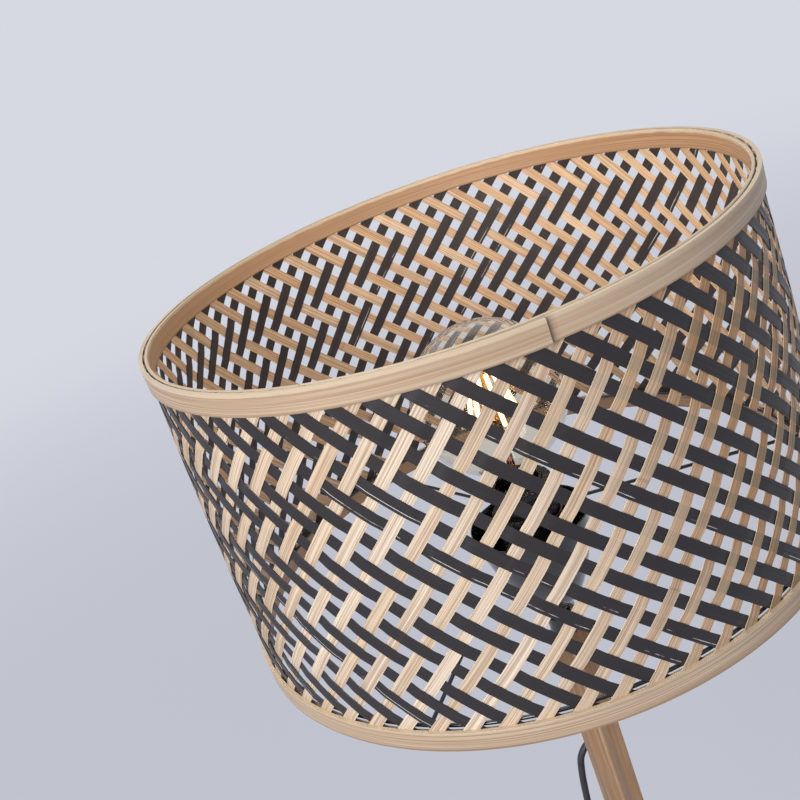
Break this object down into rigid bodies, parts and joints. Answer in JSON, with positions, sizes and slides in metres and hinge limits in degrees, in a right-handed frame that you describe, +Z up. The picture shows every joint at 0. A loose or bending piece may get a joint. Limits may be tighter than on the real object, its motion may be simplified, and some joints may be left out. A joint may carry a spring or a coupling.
{
  "type": "floor lamp",
  "caption": "Floor lamp with a drum shade woven from natural and black bamboo strips, on a square bamboo pole and a crossed foot, with a round bulb and a foot switch on its cord.",
  "frame": {"origin": "on the floor under the middle of the pole", "axes": "+Z up along the pole, +X and +Y along the two beams of the foot"},
  "size_m": [0.48, 0.48, 1.5],
  "materials": {
    "bamboo_natural": "bare split bamboo with a fine grain",
    "bamboo_black": "bamboo stained black, satin",
    "bamboo_brown": "laminated bamboo, brown stain and satin varnish",
    "black_gloss": "gloss black",
    "black_wire": "gloss black enamel on wire",
    "steel": "plain steel",
    "brass": "plain brass",
    "ceramic": "glazed ceramic",
    "clear_glass": "clear glass",
    "filament": "warm coated filament",
    "pad_rubber": "dark felted rubber",
    "cord_black": "black round flex",
    "switch_plastic": "black matt"
  },
  "bodies": {
    "lamp": {"base_beam_lower": "bamboo_brown", "base_beam_upper": "bamboo_brown", "base_bolt": "steel", "base_sleeve": "brass", "base_washer": "steel", "bottom_hoop_inner": "bamboo_natural", "bottom_hoop_outer": "bamboo_natural", "bowl_nut": "steel", "centre_contact": "brass", "coil_tie": "switch_plastic", "collar_grub_screw": "steel", "cord_coil": "cord_black", "cord_link": "cord_black", "cord_relief": "cord_black", "cord_run": "cord_black", "cord_tail": "cord_black", "foot_pad_1": "pad_rubber", "foot_pad_2": "pad_rubber", "foot_pad_3": "pad_rubber", "foot_pad_4": "pad_rubber", "holder_bowl": "black_gloss", "inner_lead": "cord_black", "joint_sleeve_lower": "brass", "joint_sleeve_upper": "brass", "joint_stud": "steel", "lampholder_cap": "black_gloss", "lampholder_core": "ceramic", "lampholder_shell": "black_gloss", "neck_flange": "black_gloss", "neck_tube": "black_gloss", "plug_body": "switch_plastic", "plug_pin_1": "brass", "plug_pin_2": "brass", "plug_relief": "cord_black", "pole_collar": "black_gloss", "pole_lower": "bamboo_brown", "pole_upper": "bamboo_brown", "screw_shell": "brass", "shade_frame": "black_wire", "shade_ring_lower": "black_gloss", "shade_ring_upper": "black_gloss", "switch_base": "switch_plastic", "switch_cover": "switch_plastic", "switch_relief_in": "cord_black", "switch_relief_out": "cord_black", "switch_screw_1": "steel", "switch_screw_2": "steel", "switch_spring": "steel", "top_hoop_inner": "bamboo_natural", "top_hoop_outer": "bamboo_natural", "weave_black": "bamboo_black", "weave_natural": "bamboo_natural"},
    "bulb": {"bulb_globe": "clear_glass", "bulb_cap": "steel", "bulb_tip": "brass", "bulb_stem": "clear_glass", "bulb_filaments": "filament"},
    "button": {"switch_button": "switch_plastic"}
  },
  "joints": [
    {"name": "bulb_lift", "type": "slide", "parent": "lamp", "child": "bulb", "axis": [0, 0, 1], "range_m": [0, 0.04]},
    {"name": "switch_press", "type": "slide", "parent": "lamp", "child": "button", "axis": [0, 0, -1], "range_m": [0, 0.003], "stiffness_N_per_m": 400, "springref_m": -0.002, "deforming": ["switch_spring"]}
  ]
}
